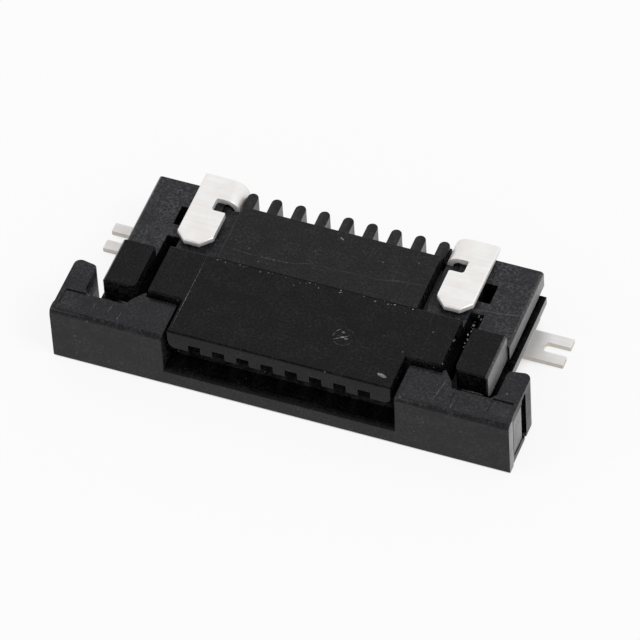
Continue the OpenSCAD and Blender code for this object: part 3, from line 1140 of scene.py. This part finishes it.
@dataclass
class ContactRow:
    """The row of stamped contacts."""

    nodes: list[str] = field(default_factory=lambda: [f"contact_{i}" for i in range(1, 9)])
    edge: float = 0.02
    edge_steps: int = 2

    def pitch(self) -> float:
        """Measures the distance between neighbouring contacts.

        Returns:
            The distance, in metres.
        """
        first = sum(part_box(self.nodes[0]), Vector()) / 2
        last = sum(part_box(self.nodes[-1]), Vector()) / 2
        return (last.x - first.x) / (len(self.nodes) - 1)

    @staticmethod
    def repeat(tree: Tree, entry: dict[str, Socket]) -> Socket:
        """Makes the nodes that repeat a blade along X.

        Args:
            tree: the group's tree.
            entry: the group's inputs.

        Returns:
            The blades as instances.
        """
        step = tree.node("ShaderNodeCombineXYZ", {"X": entry["Pitch"]}).outputs[0]
        line = tree.node("GeometryNodeMeshLine", {"Count": entry["Ways"], "Offset": step}, mode="OFFSET")
        return tree.node("GeometryNodeInstanceOnPoints", {"Points": line.outputs[0],
                                                          "Instance": entry["Geometry"]}).outputs[0]

    def build(self) -> None:
        """Builds the row from its first blade with Geometry Nodes."""
        shape = merged_copy(self.nodes[0])
        soften(shape, self.edge, self.edge_steps)
        group = geometry_group("contact_row", {"Ways": "NodeSocketInt", "Pitch": "NodeSocketFloat"},
                               self.repeat)
        row = baked(smooth_object("contact_blade", shape), group, "contact_row", {
            "Ways": len(self.nodes), "Pitch": self.pitch(), "Finish": finish(Skin.BRONZE)})
        mount(row, Body.BASE, Slot.CONTACT, self.nodes)


@dataclass
class FittingNails:
    """The two fitting nails."""

    skins: tuple[Skin, ...] = (Skin.TIN, Skin.SHEARED)
    rim: float = 0.085
    rim_steps: int = 4
    edge: float = 0.03
    edge_steps: int = 2
    pad_top: float = 2.9
    foot_top: float = 0.23
    tilt: float = 0.6

    def on_rim(self, edge: bmesh.types.BMEdge) -> bool:
        """Tells whether an edge runs round the top of a pad."""
        return min(end.co.z for end in edge.verts) > self.pad_top * MM

    def choose(self, centre: Vector, normal: Vector) -> Skin:
        """Chooses sheared for the sides of the foot and the fork, and tin elsewhere."""
        return Skin.SHEARED if centre.z < self.foot_top and abs(normal.z) < self.tilt else Skin.TIN

    def build(self) -> None:
        """Builds both nails."""
        for node in ("fitting_nail_left", "fitting_nail_right"):
            shape = merged_copy(node)
            soften(shape, self.rim, self.rim_steps, self.on_rim)
            soften(shape, self.edge, self.edge_steps)
            piece = smooth_object(node + "_plated", shape)
            paint(piece, self.skins, self.choose)
            mount(piece, Body.BASE, Slot.TIN, [node])


# ---- floor, light, camera


@dataclass(frozen=True)
class Lamp:
    """A soft square lamp that looks at the connector. Place and size are in metres, power in watts."""

    name: str
    place: Place
    size: float
    power: float

    def hang(self) -> None:
        """Adds the lamp to the scene."""
        data = bpy.data.lights.new(self.name, "AREA")
        data.size = self.size
        data.energy = self.power
        made = add_object(self.name, data)
        made.location = self.place
        made.rotation_euler = (-Vector(self.place)).to_track_quat("-Z", "Y").to_euler()


@dataclass(frozen=True)
class Studio:
    """A pale floor under soft light, and the camera. Its sizes are in metres."""

    azimuth: float = math.radians(23.525)
    elevation: float = math.radians(49.076)
    roll: float = math.radians(-3.837)
    distance: float = 261.57 * MM
    aim: Point = (-0.0319 * MM, 0.4068 * MM)
    lens: float = 375.8
    clip: Point = (0.013, 20.0)
    floor_size: float = 2.0
    floor_sides: int = 64
    floor_drop: float = 0.002 * MM
    floor_colour: Colour = (0.86, 0.86, 0.86, 1.0)
    floor_white: float = 0.86
    shade_reach: float = 2.5 * MM
    shade_samples: int = 8
    shade_span: Point = (0.02, 0.5)
    gloss_span_cut: float = 0.38
    dim_way: Place = (-0.269, -0.349, 0.898)
    dim_span: Point = (0.62, 0.93)
    dim_level: float = 0.3
    sky: float = 0.62
    lamps: tuple[Lamp, ...] = (Lamp("key_lamp", (0.35, -0.10, 0.45), size=0.25, power=1.1),
                               Lamp("fill_lamp", (-0.45, -0.25, 0.40), size=0.35, power=0.5))

    def camera(self) -> None:
        """Places the camera."""
        turn, rise = self.azimuth, self.elevation
        right = Vector((math.cos(turn), math.sin(turn), 0.0))
        back = Vector((math.sin(turn) * math.cos(rise), -math.cos(turn) * math.cos(rise), math.sin(rise)))
        up = back.cross(right)
        right, up = (math.cos(self.roll) * right + math.sin(self.roll) * up,
                     math.cos(self.roll) * up - math.sin(self.roll) * right)
        data = bpy.data.cameras.new("camera")
        data.lens = self.lens
        data.clip_start, data.clip_end = self.clip
        made = add_object("camera", data)
        place = self.aim[0] * right + self.aim[1] * up + self.distance * back
        made.matrix_world = Matrix.Translation(place) @ Matrix((right, up, back)).transposed().to_4x4()
        bpy.context.scene.camera = made

    def floor(self) -> None:
        """Lays the floor, white to the eye and with the connector's soft shadow."""
        shape = bmesh.new()
        bmesh.ops.create_circle(shape, cap_ends=True, segments=self.floor_sides, radius=self.floor_size)
        bmesh.ops.translate(shape, verts=shape.verts, vec=(0.0, 0.0, CAD_BOX[0][2] - self.floor_drop))
        made = plain_object("floor", shape)
        material = bpy.data.materials.new("pale_floor")
        material.use_nodes = True
        material.node_tree.nodes.clear()
        tree = Tree(material.node_tree)
        matte = tree.node("ShaderNodeBsdfDiffuse", {"Color": self.floor_colour})
        white = tree.node("ShaderNodeEmission", {"Strength": 1.0})
        # Ambient occlusion dims the white glow close to the connector: a painted shadow round its base,
        # besides the real shadow on the matte part.
        open_sky = tree.node("ShaderNodeAmbientOcclusion", {"Distance": self.shade_reach},
                             samples=self.shade_samples).outputs["AO"]
        path = tree.node("ShaderNodeLightPath").outputs
        # 1 on rays that show the floor: from the camera, in gloss and through glass
        seen = tree.math("MAXIMUM", path["Is Camera Ray"], path["Is Glossy Ray"])
        seen = tree.math("MAXIMUM", seen, path["Is Transmission Ray"])
        # The shade close to the connector shows less in gloss than to the camera
        low, high = self.shade_span
        full = tree.math("SUBTRACT", high, tree.math("MULTIPLY", path["Is Glossy Ray"], self.gloss_span_cut))
        white_share = tree.ramp(open_sky, low, full, to=(0.0, self.floor_white))
        share = tree.math("MULTIPLY", seen, white_share)
        mixed = tree.node("ShaderNodeMixShader", {0: share, 1: matte.outputs[0], 2: white.outputs[0]})
        tree.node("ShaderNodeOutputMaterial", {"Surface": mixed.outputs[0]})
        made.data.materials.append(material)

    def world(self) -> None:
        """Makes the surroundings: white to the eye, and a soft plain light with a dim patch overhead."""
        world = bpy.data.worlds.new("studio")
        world.use_nodes = True
        bpy.context.scene.world = world
        world.node_tree.nodes.clear()
        tree = Tree(world.node_tree)
        path = tree.node("ShaderNodeLightPath").outputs
        way = tree.node("ShaderNodeTexCoord").outputs["Generated"]
        near = tree.node("ShaderNodeVectorMath", {0: way, 1: self.dim_way}, operation="DOT_PRODUCT")
        patch = tree.ramp(near.outputs["Value"], *self.dim_span, to=(1.0, self.dim_level))
        gloss = tree.math("MULTIPLY", path["Is Glossy Ray"], patch)
        diffuse = tree.math("MULTIPLY", path["Is Diffuse Ray"], self.sky)
        seen = tree.math("MAXIMUM", path["Is Camera Ray"], path["Is Transmission Ray"])
        strength = tree.math("MAXIMUM", seen, tree.math("MAXIMUM", gloss, diffuse))
        light = tree.node("ShaderNodeBackground", {"Color": (1.0, 1.0, 1.0, 1.0), "Strength": strength})
        tree.node("ShaderNodeOutputWorld", {"Surface": light.outputs[0]})

    def build(self) -> None:
        """Sets up the floor, the light, the camera and the view settings."""
        self.floor()
        self.world()
        for lamp in self.lamps:
            lamp.hang()
        self.camera()
        bpy.context.scene.view_settings.view_transform = "Standard"


def main() -> None:
    """Builds the connector and its studio."""
    logging.basicConfig(level=logging.INFO, format="%(name)s: %(message)s")
    for part in (Housing(), SliderLock(), MouldMarks(), SliderMarkHighlights(), TornFlash(), ContactRow(),
                 FittingNails()):
        part.build()
    Studio().build()


if __name__ == "__main__":
    main()
